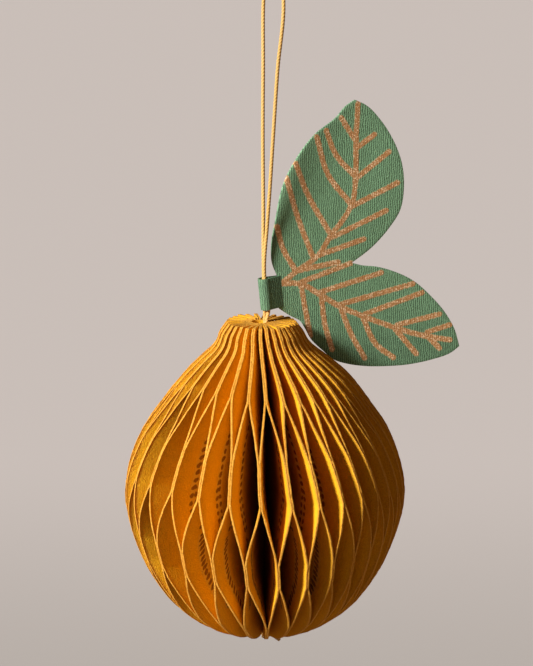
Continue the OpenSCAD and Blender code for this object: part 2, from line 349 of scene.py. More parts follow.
def paper_material(settings):
    """Dyed cotton paper with pale cut edges, painted shade deep in the cells and rows of small
    dark marks on the faces
    """
    material, tree, shader = new_material("golden_cotton_paper")
    face, edge = tuple(settings.face_colour), tuple(settings.edge_colour)
    place = tree.millimetres()
    pulp = tree.group(pulp_group(), {"Place": place, "Grain Size": 0.42, "Fibre Size": 1.4})
    inset, height = tree.attribute("inset"), tree.attribute("height")
    printed = tree.math("ADD", inset, tree.attribute("print_shift"))
    shade = tree.mix(tree.step(pulp["Height"], 0.3, 0.9),
                     tuple(0.9 * c for c in face), tuple(min(1.0, 1.08 * c) for c in face))
    shade = tree.mix(tree.step(inset, 0.2, 1.6, 0.35, 0.0), shade, edge)
    # painted shade: the paper darkens from 5.5 to 20 mm in from the edge, deep in the cells
    shade = tree.mix(tree.step(inset, 5.5, 20.0, 0.0, 0.85), shade, DEEP_SHADE)
    uneven_size = tree.step(tree.noise(place, 0.9, 1.0), 0.3, 0.7, 0.75, 1.25)
    for band, mark in (dots(tree, printed, height, uneven_size),
                       dashes(tree, inset, height, uneven_size)):
        shade = tree.mix(tree.math("MULTIPLY", band, 0.6), shade, MARK_BAND)
        shade = tree.mix(tree.math("MULTIPLY", mark, 0.8), shade, MARK_DARK)
    rim = tree.step(inset, 0.05, RIM_DEPTH, 1.0, 0.0)
    cut = tree.mix(tree.step(tree.noise(place, 2.0, 2.0, 0.7), 0.35, 0.55),
                   (0.84 * edge[0], 0.76 * edge[1], 0.55 * edge[2]), edge)
    tree.put(shader.inputs["Base Color"], tree.mix(rim, shade, cut))
    bump = tree.add("ShaderNodeBump", {
        "Height": pulp["Height"], "Strength": 1.0, "Distance": 0.2 * MM})
    tree.put(shader.inputs["Normal"], bump.outputs[0])
    shader.inputs["Roughness"].default_value = 0.9
    shader.inputs["Specular IOR Level"].default_value = 0.1
    return material


def oval(tree, across, along, wide, high):
    """Mask of an oval around the middle of the two distances"""
    a, b = tree.math("DIVIDE", across, wide), tree.math("DIVIDE", along, high)
    reach = tree.math("SQRT", tree.math("ADD", tree.math("MULTIPLY", a, a),
                                        tree.math("MULTIPLY", b, b)))
    return tree.step(reach, 0.75, 1.15, 1.0, 0.0)


def dots(tree, inset, height, uneven_size):
    """Masks of the upper row: a pale band, and its dots that lie in pairs further down"""
    spacing, depth, apart, low, high = 1.8, 9.4, 0.95, 34.0, 60.5
    across = tree.math("SUBTRACT", inset, depth)
    along = tree.math("SUBTRACT", tree.math("FLOORED_MODULO", height, spacing), spacing / 2)
    pairing = tree.step(height, 40.0, 47.0, 1.0, 0.0)
    paired = tree.math("MULTIPLY_ADD", pairing, -apart, tree.math("ABSOLUTE", across))
    reach = window(tree, height, low, high)
    band = tree.step(tree.math("ABSOLUTE", across), 0.9, 1.9, 1.0, 0.0)
    wide = tree.math("MULTIPLY_ADD", pairing, -0.25, 0.95)
    dot = oval(tree, paired, along, tree.math("MULTIPLY", uneven_size, wide),
               tree.math("MULTIPLY", uneven_size, 0.62))
    return tree.math("MULTIPLY", band, reach), tree.math("MULTIPLY", dot, reach)


def dashes(tree, inset, height, uneven_size):
    """Masks of the lower row: a pale band, and its slanting dashes that follow the edge"""
    spacing, depth, slope, slant, low, high = 1.35, 7.4, 0.085, -0.55, 12.0, 33.5
    level = 26.4  # the height at which the row lies at its named depth
    middle = tree.math("MULTIPLY_ADD", height, slope, depth - level * slope)
    across = tree.math("SUBTRACT", inset, middle)
    slanted = tree.math("MULTIPLY_ADD", across, slant, height)
    along = tree.math("SUBTRACT", tree.math("FLOORED_MODULO", slanted, spacing), spacing / 2)
    reach = window(tree, height, low, high)
    band = tree.step(tree.math("ABSOLUTE", across), 1.2, 2.2, 1.0, 0.0)
    dash = oval(tree, across, along, tree.math("MULTIPLY", uneven_size, 1.15),
                tree.math("MULTIPLY", uneven_size, 0.52))
    return tree.math("MULTIPLY", band, reach), tree.math("MULTIPLY", dash, reach)


def window(tree, height, low, high):
    """One between two heights and nothing outside them"""
    soft = 0.8
    return tree.math("MULTIPLY", tree.step(height, low, low + soft),
                     tree.step(height, high - soft, high, 1.0, 0.0))


def card_material(settings):
    """Green ribbed card with glittering copper veins, with painted light and shade across its
    ribs, painted shade low on the leaf and over the fold
    """
    material, tree, shader = new_material("ribbed_green_card")
    card = tuple(settings.card_colour)
    rib_width, weft_width, weft_slope = 0.56, 0.62, 0.5
    across, up = tree.attribute("across"), tree.attribute("up")
    pulp = tree.group(pulp_group(), {
        "Place": tree.millimetres(), "Grain Size": 0.25, "Fibre Size": 1.0})
    wander = tree.math("MULTIPLY", pulp["Mottle"], 1.4)
    rib = tree.math("SINE", tree.math(
        "MULTIPLY", tree.math("ADD", across, wander), math.tau / rib_width))
    weft = tree.math("SINE", tree.math("MULTIPLY", tree.math(
        "MULTIPLY_ADD", across, weft_slope, up), math.tau / weft_width))
    weave = tree.math("MULTIPLY_ADD", tree.math("MULTIPLY", rib, weft), 0.18,
                      tree.math("MULTIPLY", rib, 0.32))
    weave = tree.math("ADD", weave, pulp["Height"])
    # painted light and shade: the card lighter where the ribs and grain stand up and darker
    # between them
    light = tree.step(weave, 0.2, 0.9)
    shade = tree.mix(light, tuple(0.45 * c for c in card), tuple(1.5 * c for c in card))
    # painted shade: the leaf darker low down, near the body's top
    shade = tree.mix(tree.step(up, -12.0, 6.0, 0.75, 1.0), BLACK, shade)
    # painted shade over the fold around the cord, toning down its brightly lit side
    shade = tree.mix(tree.step(across, 1.2, FOLD_REACH + 0.2, 0.4, 0.0), shade, BLACK)
    ragged = tree.math("MULTIPLY_ADD", pulp["Height"], 0.55, tree.attribute("vein"))
    vein = tree.step(ragged, 0.92, 1.14, 1.0, 0.0)
    grit = tree.add("ShaderNodeTexVoronoi", {"Vector": tree.millimetres(), "Scale": 3.2})
    grains = tree.add("ShaderNodeSeparateColor", {"Color": grit.outputs["Color"]}).outputs
    # painted glints: the brightest glitter grains in the veins get a paler colour
    copper = tree.mix(tree.step(grains[0], 0.62, 0.95), COPPER, GLINT)
    tree.put(shader.inputs["Base Color"], tree.mix(vein, shade, copper))
    tree.put(shader.inputs["Metallic"], tree.math("MULTIPLY", vein, 0.15))
    tree.put(shader.inputs["Roughness"], tree.math("MULTIPLY_ADD", vein, -0.35, 0.85))
    height = tree.math("MULTIPLY_ADD", tree.math("MULTIPLY", vein, grains[1]), 1.2, weave)
    bump = tree.add("ShaderNodeBump", {"Height": height, "Strength": 0.7, "Distance": 0.08 * MM})
    tree.put(shader.inputs["Normal"], bump.outputs[0])
    shader.inputs["Specular IOR Level"].default_value = 0.3
    return material


def thread_material(name, settings, ply_groove_shade):
    """Twisted cotton thread, its plies lit on their crowns and dark between: painted light and
    shade in the thread's colour
    """
    material, tree, shader = new_material(name)
    colour = tuple(settings.thread_colour)
    plies = tree.group(twist_group(), {
        "Along": tree.attribute("along"), "Around": tree.attribute("around"),
        "Turn": settings.twist / MM, "Plies": float(settings.plies)})
    # painted shade: the thread's colour darker between the plies
    shade = tree.mix(plies["Height"], tuple(ply_groove_shade * c for c in colour), colour)
    # painted highlight: a paler tone on the crowns of the plies' fine ridges
    shade = tree.mix(tree.math("MULTIPLY", plies["Crown Highlight"], 0.25), shade, THREAD_CROWN_HIGHLIGHT)
    tree.put(shader.inputs["Base Color"], shade)
    bump = tree.add("ShaderNodeBump", {
        "Height": plies["Height"], "Strength": 0.6, "Distance": 0.1 * MM})
    tree.put(shader.inputs["Normal"], bump.outputs[0])
    shader.inputs["Roughness"].default_value = 0.62
    shader.inputs["Specular IOR Level"].default_value = 0.35
    return material


# the body's outline: height and radius, as shares of the full height and the largest radius
OUTLINE = [
    (0, 0.165), (0.004, 0.215), (0.01, 0.277), (0.018, 0.344), (0.03, 0.408), (0.048, 0.487),
    (0.072, 0.565), (0.109, 0.663), (0.159, 0.754), (0.227, 0.849), (0.299, 0.92), (0.373, 0.973),
    (0.447, 1), (0.521, 0.986), (0.594, 0.939), (0.668, 0.863), (0.742, 0.746), (0.791, 0.665),
    (0.84, 0.57), (0.889, 0.449), (0.925, 0.352), (0.95, 0.315), (0.968, 0.299), (0.985, 0.271),
    (1, 0.244)]
# where the leaves are joined: lowest and highest point above the foot
FOOT_JOIN = (0.0, 7.6)
LOW_JOIN = (21.4, 27.6)
MIDDLE_JOIN = (42.6, 52.6)
NECK_JOIN = (65.6, BODY_HEIGHT)
# how quickly two leaves part under a join, and how quickly they meet at the next one below it
HIGH_PARTING = (1.7, 0.4)
MIDDLE_PARTING = (1.0, 0.5)
LOW_PARTING = (0.9, 0.85)
LEFT_RISE = 2.2  # how much higher the joins stand on the left of the front
RISE_TURN = math.radians(50)  # how far left of the front that is
RISE_NARROW = 1.5  # how quickly it falls off around the body
BODY_TURN = math.radians(-7.3)  # turn of the whole body
BODY_TWIST = math.radians(1.7)  # further turn of its top, and the other way of its foot
SIDE_UNEVEN = (0.17, -0.13)  # joins drawn to one side: half way up, and its change to the top
FRONT_UNEVEN = (0.07, 0.17)  # joins drawn to the front: half way up, and its change to the top
HALF_UNEVEN = 0.05  # the same twice around the body
NECK_LEAN = -1.3  # sideways lean of the neck
LEAN_FROM = 0.8  # share of the height where the neck begins to lean
BODY_LEAN = 0.8  # sideways lean of the whole body, from its foot to its top
LEAN_EVEN = 0.625  # share of the height where that lean crosses the cord's axis
JOIN_TURN = math.radians(1.1)  # turn of every second row of joins
EDGE_GAP = 0.04  # half the gap between two joined leaves at their edge
NOTCH = 0.4  # depth of that gap
TOP_BAND = 3.0  # height under the top in which the leaves end unevenly
TOP_PROUD = 0.3  # how much
HUB_RADIUS = 2.75  # paper left whole around the cord's hole
HOLE = ((0.0, 1.3), (LEAN_FROM, 1.3), (1.0, 2.15))  # height as a share, and radius
FACE_STEPS = (0.35, 0.7, 0.88, 0.97, 1.0)  # points across a leaf's face, from its hub to its rim
# the upper row of marks lies nearer to the edge on the leaves at the front left
PRINT_TURN = math.radians(37)  # how far left of the front the middle one of them is
PRINT_WIDTH = math.radians(11)  # turn from there over which the shift fades
PRINT_SHIFT = 1.9
RIM_DEPTH = 0.2  # how far in under the edge the face ends
RIM_ROUND = 0.08  # how far in under the edge the rim's corners lie
RIM_LEAST = 0.15  # a rim's least reach to either side
FRAY_LENGTHS = (0.9, 0.33)  # how long the coarse and the fine frays of a rim are
FLARE_LENGTH = 0.8  # and its thicker and thinner stretches
RIM_CLEAR = 0.02  # half the gap left between the rims of two joined leaves
HUB_DEPTH = 20.0  # how far in under the edge the hole's wall counts as


def radius_shares(shares):
    """The outline's radius at heights given as shares, a soft curve through its points"""
    x, y = np.array(OUTLINE).T
    slope = np.empty(len(x))
    slope[1:-1] = (y[2:] - y[:-2]) / (x[2:] - x[:-2])
    slope[0] = (y[1] - y[0]) / (x[1] - x[0])
    slope[-1] = (y[-1] - y[-2]) / (x[-1] - x[-2])
    i = np.clip(np.searchsorted(x, shares, side="left") - 1, 0, len(x) - 2)
    span = x[i + 1] - x[i]
    u = (shares - x[i]) / span
    return ((2 * u**3 - 3 * u**2 + 1) * y[i] + (u**3 - 2 * u**2 + u) * slope[i] * span
            + (3 * u**2 - 2 * u**3) * y[i + 1] + (u**3 - u**2) * slope[i + 1] * span)


def swing(u, parting):
    """The way of a leaf between two joins, from the upper one down"""
    return (u**2 * (3 - 2 * u) + parting[0] * (u**3 - 2 * u**2 + u)
            + parting[1] * (u**3 - u**2))


def body_rows():
    """Rows up the body: height, share of the way to the second joining, and which pairs touch"""
    between = (0.015, 0.04, 0.08, 0.14, *np.linspace(0.2, 0.8, 11), 0.86, 0.92, 0.96, 0.985)

    def joined(heights, share):
        """Rows of a join"""
        return [(z, share, share == 0, share == 1) for z in heights]

    def parted(low, high, turned, parting):
        """Rows between two joins"""
        shares = [swing(1 - k, parting) for k in between]
        return [(low + k * (high - low), 1 - share if turned else share, False, False)
                for k, share in zip(between, shares)]

    foot = [FOOT_JOIN[1] * k for k in (0, 0.015, 0.04, 0.08, 0.14, 0.21, 0.3, 0.42, 0.57, 0.77, 1)]
    neck = [*np.linspace(NECK_JOIN[0], BODY_HEIGHT - 5, 10),
            *(BODY_HEIGHT - drop for drop in (4, 3.1, 2.3, 1.6, 1.05, 0.65, 0.35, 0.14, 0))]
    return (joined(foot, 1) + parted(FOOT_JOIN[1], LOW_JOIN[0], False, LOW_PARTING)
            + joined(np.linspace(*LOW_JOIN, 7), 0)
            + parted(LOW_JOIN[1], MIDDLE_JOIN[0], True, MIDDLE_PARTING)
            + joined(np.linspace(*MIDDLE_JOIN, 10), 1)
            + parted(MIDDLE_JOIN[1], NECK_JOIN[0], False, HIGH_PARTING) + joined(neck, 0))


def uneven(even, z):
    """Where a join stands that an even spread would put at the angle, in radians"""
    h = 2 * z / BODY_HEIGHT - 1
    return (even + BODY_TURN + BODY_TWIST * h
            + (SIDE_UNEVEN[0] + SIDE_UNEVEN[1] * h) * np.cos(even)
            - (FRONT_UNEVEN[0] + FRONT_UNEVEN[1] * h) * np.sin(even)
            + HALF_UNEVEN * (np.sin(2 * even) + np.cos(2 * even) / 2))


def rise(angle, z):
    """How much higher than its row a point stands: most on the left, nothing at the ends"""
    off = np.abs((angle + RISE_TURN + 3 * math.pi) % math.tau - math.pi) * RISE_NARROW
    return LEFT_RISE * np.cos(np.minimum(math.pi / 2, off))**2 * (1 - (2 * z / BODY_HEIGHT - 1)**4)


def wander(seed, count, z, size):
    """Small steady drifts of the joins, one row for each join"""
    slow, quick = z / 9.0, z / 2.2
    drift = [noise.noise(Vector((slow, 3.7 * k + seed, 0.5)))
             + 0.35 * noise.noise(Vector((quick, 5.1 * k + seed, 9.5))) for k in range(count)]
    return size * np.array(drift)


class HoneycombBody:
    """Works out the points of the body, ring by ring from the foot to the top"""

    def __init__(self, settings):
        self.pairs = settings.pairs
        self.count = 2 * settings.pairs
        self.paper = settings.paper / MM
        self.wave = settings.wave / MM
        self.widest = settings.diameter / MM / 2
        self.fray = settings.fray / MM
        self.flare = settings.flare / MM

    def radius(self, z):
        """The outline's radius at each height above the foot"""
        return self.widest * radius_shares(np.clip(z / BODY_HEIGHT, 0, 1))

    def leaf_angles(self, z, s):
        """Angle of every leaf off the front at a height"""
        number = np.arange(self.count)
        pitch = math.tau / self.pairs
        first = number // 2 * pitch
        second = first + np.where(number % 2 == 0, -pitch / 2, pitch / 2)
        size = self.wave / max(6.0, float(self.radius(np.array(z))))
        drift_first = wander(1.0, self.pairs, z, size)[number // 2]
        drift_second = wander(60.0, self.pairs, z, size)[(number + 1) // 2 % self.pairs]
        return ((1 - s) * (uneven(first, z) + drift_first)
                + s * (uneven(second, z) + JOIN_TURN + drift_second))

    def hole_point(self, angle, radius, z):
        """A point around the cord's axis"""
        u = max(0.0, (z / BODY_HEIGHT - LEAN_FROM) / (1 - LEAN_FROM))
        lean = NECK_LEAN * u * u * (3 - 2 * u)
        return AXIS_X + lean + radius * math.sin(angle), -radius * math.cos(angle), FOOT_Z + z

    def leaf_point(self, angle, radius, side, z, tall):
        """A point of a leaf from its angle, the way out, the step to the side and the height"""
        x, y, up = self.hole_point(angle, radius, z)
        x += BODY_LEAN * (z / BODY_HEIGHT - LEAN_EVEN)
        return x + side * math.cos(angle), y + side * math.sin(angle), up + tall

    def valleys(self, angles, z, s, joined):
        """The bottoms of the gaps between each leaf and the next: angle, radius and height"""
        after = np.append(angles[1:], angles[0] + math.tau)
        middle = (angles + after) / 2
        first = np.arange(self.count) % 2 == 0
        high = z + rise(middle, z)
        outer = self.radius(high)
        meeting = self.paper * np.where(first, s, 1 - s) / np.tan(
            np.maximum((after - angles) / 2, 0.0004))
        meeting = np.where(np.where(first, joined[0], joined[1]), outer, meeting)
        depth = np.minimum(NOTCH, outer / 3)
        return middle, np.minimum(outer - depth, np.maximum(HUB_RADIUS, meeting)), high

    def ring(self, z, s, joined):
        """Every leaf at a height: up its left face, round its rim and down its right face"""
        angles = self.leaf_angles(z, s)
        middles, deep, low = self.valleys(angles, z, s, joined)
        levels = z + rise(angles, z)
        outer = self.radius(levels)
        sides = np.where(np.arange(self.count) % 2 == 0, -1, 1) * (1 - 2 * s) * self.paper / 2
        apart = outer * (np.append(angles[1:], angles[0] + math.tau) - angles) + (
            np.roll(sides, -1) - sides)
        rows, insets, heights = [], [], []
        for i, angle in enumerate(angles):
            side, edge, level = sides[i], outer[i], levels[i]
            coarse, fine = (z / length for length in FRAY_LENGTHS)
            fray = self.fray * (noise.noise(Vector((coarse, 2.9 * i, 4.0)))
                                + 0.8 * noise.noise(Vector((fine, 2.9 * i, 14.0))))
            flare = self.flare * (
                1 + 0.9 * noise.noise(Vector((z / FLARE_LENGTH, 1.7 * i, 7.0))))
            tall = self.top_height(i, angle) * max(0.0, 1 + (z - BODY_HEIGHT) / TOP_BAND)
            points, depths, ups = [], [], []

            def put(radius, step, height, depth):
                """Adds one point of the leaf"""
                points.append(self.leaf_point(angle, radius, side + step, height, tall))
                depths.append(depth)
                ups.append(height)

            def face(j, hand):
                """The points across one face, from the gap beside it to the rim"""
                for k in FACE_STEPS:
                    out = deep[j] + (edge - RIM_DEPTH - deep[j]) * k
                    slim = self.paper / 2 - EDGE_GAP * max(0.0, 1 - (edge - out) / NOTCH)
                    yield out, hand * slim, low[j] + (level - low[j]) * k, edge - out

            left = i - 1
            points.append(self.leaf_point(middles[left], deep[left], 0, low[left], tall))
            depths.append(edge - deep[left])
            ups.append(low[left])
            for point in face(left, -1):
                put(*point)
            full = self.paper / 2 - EDGE_GAP + flare
            before, after = (min(full, max(RIM_LEAST, gap / 2 - RIM_CLEAR))
                             for gap in (apart[left], apart[i]))
            for radius, step in ((edge - RIM_ROUND, -before), (edge + fray, -0.6 * before),
                                 (edge + fray, 0.6 * after), (edge - RIM_ROUND, after)):
                put(radius, step, level, 0.0)
            for point in reversed(list(face(i, 1))):
                put(*point)
            rows += points
            insets += depths if z < BODY_HEIGHT else [0.0] * len(depths)
            heights += ups
        return rows, insets, heights, middles

    def top_height(self, i, angle):
        """How much a leaf stands proud at the top: a little uneven, more at the back left"""
        back = max(0.0, -math.cos(angle) * 0.8 - math.sin(angle) * 0.6)
        return TOP_PROUD * (back + noise.noise(Vector((1.7 * (i // 2), 8.0, 2.0))))


def body_mesh(settings):
    """One closed mesh of all the leaves, with the cord's hole up its middle"""
    body = HoneycombBody(settings)
    rows = body_rows()
    points, insets, heights, valleys = [], [], [], []
    for z, s, *joined in rows:
        ring, depths, levels, valley = body.ring(z, s, joined)
        points += ring
        insets += depths
        heights += levels
        valleys.append(valley)
    around = len(ring)
    per_leaf = around // body.count
    faces = []
    for j in range(len(rows) - 1):
        low, high = j * around, (j + 1) * around
        faces += [(low + k, low + (k + 1) % around, high + (k + 1) % around, high + k)
                  for k in range(around)]
    hole_start = len(points)
    for share, radius in HOLE:
        level = 0 if share == 0 else len(rows) - 1
        z = share * BODY_HEIGHT
        for angle in valleys[level]:
            points.append(body.hole_point(angle, radius, z))
            insets.append(HUB_DEPTH if share < 1 else 0.0)
            heights.append(z)
    faces += hole_faces(body.count, hole_start)
    faces += cap_faces(body.count, per_leaf, 0, hole_start, True)
    last = (len(rows) - 1) * around
    faces += cap_faces(body.count, per_leaf, last, hole_start + 2 * body.count, False)
    mesh = bpy.data.meshes.new("honeycomb_leaves")
    mesh.from_pydata(to_metres(points), [], faces)
    point_values(mesh, "inset", insets)
    point_values(mesh, "height", heights)
    number = np.arange(around) // per_leaf
    turn = uneven(number // 2 * math.tau / body.pairs, BODY_HEIGHT / 2) - math.tau
    near = np.clip(1 - np.abs(turn + PRINT_TURN) / PRINT_WIDTH, 0, 1)
    shifts = np.zeros(len(points))
    shifts[:around * len(rows)] = np.tile(PRINT_SHIFT * near, len(rows))
    point_values(mesh, "print_shift", shifts)
    smooth_mesh(mesh, math.radians(38))
    return mesh


def hole_faces(count, start):
    """The wall of the cord's hole, seen from inside it"""
    faces = []
    for j in range(len(HOLE) - 1):
        low, high = start + j * count, start + (j + 1) * count
        faces += [(low + (i + 1) % count, low + i, high + i, high + (i + 1) % count)
                  for i in range(count)]
    return faces


def cap_faces(count, per_leaf, start, hole, downward):
    """The ends of the leaves and of the hub at the foot or the top"""
    faces = []
    for i in range(count):
        first = start + i * per_leaf
        after = start + (i + 1) % count * per_leaf
        leaf = [first + k for k in range(per_leaf)] + [after]
        half = len(leaf) // 2
        for k in range(half):
            a, b, c, d = leaf[k], leaf[k + 1], leaf[-k - 2], leaf[-k - 1]
            faces.append((a, b, c, d) if b != c else (a, b, d))
        inner, outer = hole + (i - 1) % count, hole + i
        faces.append((first, after, outer, inner))
    if downward:
        return [tuple(reversed(face)) for face in faces]
    return faces


class ORNAMENT_OT_body(bpy.types.Operator):
    """Builds the honeycomb body of folded and cut paper leaves"""
    bl_idname = "ornament.body"
    bl_label = "Honeycomb body"

    def execute(self, context):
        settings = context.scene.ornament_body
        mesh = body_mesh(settings)
        new_piece("honeycomb_leaves", mesh, ["honeycomb_body"],
                  paper_material(settings))
        return {"FINISHED"}


# the cord's route, from the knot up the front strand, over the top and down the back strand
CORD_ROUTE = [
    (-2, -0.5, -169.4), (-2, -0.5, -128.7), (-2, -0.5, -96.14), (-1.9, -0.5, -89),
    (-1.1, 0.1, -84.6), (-2.2, -0.6, -76.4), (-1.5, -1.4, -63), (-1, -2.1, -56), (0, -3.6, -40),
    (1, -5, -24.5), (2.4, -6.5, -8), (2.2, -6, -4.6), (1.7, -4.6, -1.9), (0.9, -2.5, -0.1),
    (0, 0, 0.5), (-0.9, 2.5, -0.1), (-1.7, 4.6, -1.9), (-2.2, 6, -4.6), (-2.4, 6.5, -8),
    (-2.5, 4.7, -24.5), (-2.6, 3.2, -40), (-2.5, 1.7, -57), (-2.4, 0.5, -76.4),
    (-2.15, 0.2, -84.6), (-2.1, 0.5, -89), (-2, 0.55, -96.14), (-2, 0.55, -128.7),
    (-2, 0.55, -169.4)]
# the knot's two short ends, in millimetres from its middle
KNOT_ENDS = [
    [(1.2, -0.4, 0.2), (2.0, -0.9, -0.4), (2.9, -1.5, -0.9), (3.6, -2.3, -1.1)],
    [(-1.0, 0.6, 0.1), (-1.9, 0.9, -0.5), (-2.8, 0.8, -1.0), (-3.7, 1.1, -1.3)]]


KNOT_MIDDLE = 1.4  # how far under the foot the knot's turns lie
KNOT_SIZE = 0.62
KNOT_WINDING = 1.55
END_DROP = 1.3  # how far under the foot the ends come out


def even_line(line, spacing):
    """The same line with points at even steps along it, and how far along each lies"""
    line = np.array(line)
    reach = np.concatenate([[0], np.cumsum(np.linalg.norm(np.diff(line, axis=0), axis=1))])
    count = max(2, int(round(reach[-1] / spacing)))
    stops = np.linspace(0, reach[-1], count + 1)
    return np.stack([np.interp(stops, reach, line[:, axis]) for axis in range(3)], axis=1), stops


def thread_tube(line, settings, spacing, sides, closed=False):
    """A twisted thread along a line: points, faces and the place along and around it"""
    centre, along = even_line(line, spacing)
    if closed:
        centre, along = centre[:-1], along[:-1]
    radius = settings.diameter / MM / 2
    ahead = np.gradient(centre, axis=0)
    if closed:
        ahead = np.roll(centre, -1, axis=0) - np.roll(centre, 1, axis=0)
    across = np.array([0.94, 0.34, 0.0])
    points, lengths, turns = [], [], []
    for here, way, reach in zip(centre, ahead, along):
        way = way / np.linalg.norm(way)
        across = across - way * np.dot(across, way)
        across = across / np.linalg.norm(across)
        beside = np.cross(way, across)
        for k in range(sides):
            angle = k * math.tau / sides
            ply = math.cos(settings.plies * (angle - math.tau * reach * MM / settings.twist))
            out = radius * (0.965 + 0.055 * ply)
            points.append(here + out * (across * math.cos(angle) + beside * math.sin(angle)))
            lengths.append(reach)
            turns.append(k / sides)
    rings = len(centre)
    faces = []
    for j in range(rings if closed else rings - 1):
        low, high = j * sides, (j + 1) % rings * sides
        faces += [(low + k, low + (k + 1) % sides, high + (k + 1) % sides, high + k)
                  for k in range(sides)]
    if not closed:
        faces.append(tuple(reversed(range(sides))))
        faces.append(tuple(range((rings - 1) * sides, rings * sides)))
    return points, faces, lengths, turns


def thread_mesh(name, tubes):
    """One mesh of several lengths of thread"""
    points, faces, lengths, turns = [], [], [], []
    for tube in tubes:
        shift = len(points)
        points += list(tube[0])
        faces += [tuple(shift + k for k in face) for face in tube[1]]
        lengths += tube[2]
        turns += tube[3]
    mesh = bpy.data.meshes.new(name)
    mesh.from_pydata(to_metres(points), [], faces)
    point_values(mesh, "along", lengths)
    point_values(mesh, "around", turns)
    smooth_mesh(mesh, math.radians(60))
    return mesh


def knot_line():
    """The overhand turns of the knot under the body"""
    line = []
    steps = 120
    for k in range(steps):
        t = k * math.tau / steps
        x = KNOT_SIZE * (math.sin(t) + KNOT_WINDING * math.sin(2 * t))
        y = KNOT_SIZE * (math.cos(t) - KNOT_WINDING * math.cos(2 * t))
        line.append((AXIS_X + x, y, FOOT_Z - KNOT_MIDDLE - 0.6 * math.sin(3 * t)))
    return line + [line[0]]


class ORNAMENT_OT_cord(bpy.types.Operator):
    """Builds the hanging loop and the knot that holds it under the body"""
    bl_idname = "ornament.cord"
    bl_label = "Cord and knot"

    def execute(self, context):
        settings = context.scene.ornament_cord
        knot = new_piece("tied_knot", self.knot_mesh(settings), ["knot"],
                         thread_material("knotted_thread", settings, 0.55))
        tube = thread_tube(smooth_line(CORD_ROUTE, 8), settings, 0.45, 12)
        cord = new_piece("cord_loop", thread_mesh("cord_loop", [tube]), ["cord"],
                         thread_material("twisted_thread", settings, 0.62))
        path = to_metres(smooth_line(CORD_ROUTE, 4))
        return {"FINISHED"}

    def knot_mesh(self, settings):
        """The knot with its two short ends"""
        middle = np.array([AXIS_X, 0, FOOT_Z - END_DROP])
        tubes = [thread_tube(knot_line(), settings, 0.4, 12, closed=True)]
        for end in KNOT_ENDS:
            line = [middle + np.array(point) for point in end]
            tubes.append(thread_tube(smooth_line(line, 6), settings, 0.35, 12))
        return thread_mesh("tied_knot", tubes)


# the twin leaf's outline in its own plane: sideways from the cord, and height above the body's top
UPPER_LEAF_LEFT = [
    (3.2, 11.5), (1.8, 15), (1.6, 18.5), (2.8, 26), (5, 35), (8.2, 40.7), (13, 46.5), (19, 50.8),
    (21.2, 53.2), (23.8, 54.8)]
UPPER_LEAF_RIGHT = [
    (23.8, 54.8), (26.6, 53.5), (31, 49.2), (34.4, 44), (36.6, 38.5), (37.3, 32.2), (36.4, 26.4),
    (33.5, 22), (28.5, 17), (23.2, 13.5)]
LOWER_LEAF_TOP = [
    (23.2, 13.5), (26.2, 12.6), (30.2, 12), (35, 10.5), (40.4, 7.8), (45.5, 3.4), (49.8, -1.5),
    (52.4, -6), (53.7, -10.4)]
LOWER_LEAF_UNDER = [
    (53.7, -10.4), (51.6, -11.8), (46, -13.3), (39.6, -14.1), (33.4, -14.1), (27.2, -13.6),
    (22.2, -12.6), (18.5, -11.2), (15.9, -8.9), (12.3, -5.3), (10.8, -2.6), (9.4, -0.5),
    (6.9, 0.9), (3.8, 3)]
# the drawn veins: the middle vein of each half, then its side veins
UPPER_VEINS = [
    [(3.5, 9), (8.5, 12.5), (14, 16), (17.5, 21), (20.5, 24.5), (23, 28.5), (24, 35.5), (24, 44),
     (24.5, 54)],
    [(24, 44.5), (20, 50.5)], [(23.5, 36), (18.5, 41.5), (16, 47.5)],
    [(22.5, 29), (16.5, 36.5), (13.5, 46)], [(17.5, 21), (10.5, 33), (8, 39.5)],
    [(12.5, 16), (8.5, 26), (5.5, 36)], [(8, 12.5), (4.5, 18.5), (3, 24)], [(24.5, 43), (29, 46)],
    [(24, 35), (33, 41.5)], [(23, 28), (35.5, 33.5)], [(18, 20.5), (32.5, 26.5)],
    [(14, 16), (26.5, 19.5)], [(8.5, 12.5), (19.5, 14)], [(9.5, 9.5), (23, 13.5)]]
LOWER_VEINS = [
    [(3.5, 9.5), (9.5, 9), (14.5, 6), (20, 2.5), (26.5, -0.5), (35, -4), (44, -7), (51, -8.5)],
    [(14.5, 6.5), (31.5, 10.5)], [(20, 3), (40.5, 7)], [(27, 0), (43, 4.5)],
    [(36, -3.5), (48, -1.5)], [(44.5, -6), (51, -4.5)], [(9.5, 8.5), (11, 0.5), (12, -4.5)],
    [(15, 5.5), (16, -2), (18, -8.5)], [(20.5, 1.5), (23.5, -5.5), (27, -11.5)],
    [(26.5, -1), (30, -8), (35, -12)], [(35, -4), (41.5, -11.5)], [(44.5, -7), (48, -10.5)]]
EYE_TOP = 11.1  # upper end of the fold around the cord
EYE_LOW = 3.1  # lower end of the fold around the cord
EYE_RADIUS = 1.2  # room for both strands inside the fold
EYE_WALL = 0.4  # one layer of card
EYE_SHIFT = 0.05  # the fold's middle, sideways from the cord
EYE_TILT = math.radians(6)  # lean of the fold in the leaf's plane
NO_VEIN = 9.0  # distance to a vein that the plain fold is given
FOLD_REACH = 4.4  # where the fold's two layers lie flat on each other
FOLD_CUT = (3.7, 3.3)  # left end of the flat sheet inside the fold, at its low and high end


